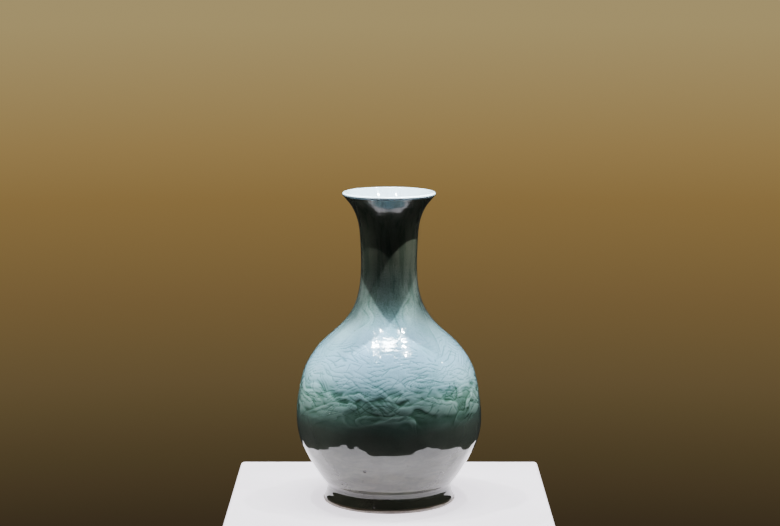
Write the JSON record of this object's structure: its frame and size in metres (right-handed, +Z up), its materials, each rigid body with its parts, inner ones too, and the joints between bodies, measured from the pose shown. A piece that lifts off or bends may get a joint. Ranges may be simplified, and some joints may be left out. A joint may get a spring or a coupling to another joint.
{
  "type": "porcelain bottle vase",
  "caption": "Globular porcelain bottle vase with a tall neck, trumpet mouth and flared foot ring, carved under a pale celadon glaze.",
  "frame": {"origin": "centre of the foot ring's tread, on the surface that the vase stands on", "axes": "+Z up along the vase's axis of revolution; +X to the viewer's right and -Y towards the viewer, though the form is round"},
  "size_m": [0.1794, 0.1794, 0.3],
  "materials": {
    "bare_biscuit": "unglazed, fired warm buff, matt and slightly gritty",
    "porcelain_paste": "fired porcelain paste, unglazed where it is covered",
    "slip": "fired porcelain slip, fine and matt",
    "celadon_glaze": "glossy pale blue-green celadon, darker where it pools in the carving",
    "white_glaze": "glossy bluish white glaze"
  },
  "bodies": {
    "root": {"foot_ring": "bare_biscuit", "lower_belly": "porcelain_paste", "upper_belly": "porcelain_paste", "neck": "porcelain_paste", "trumpet_mouth": "porcelain_paste", "foot_seam": "slip", "belly_seam": "slip", "shoulder_seam": "slip", "mouth_seam": "slip", "celadon_glaze": "celadon_glaze", "interior_glaze": "white_glaze", "base_glaze": "white_glaze"}
  },
  "joints": []
}
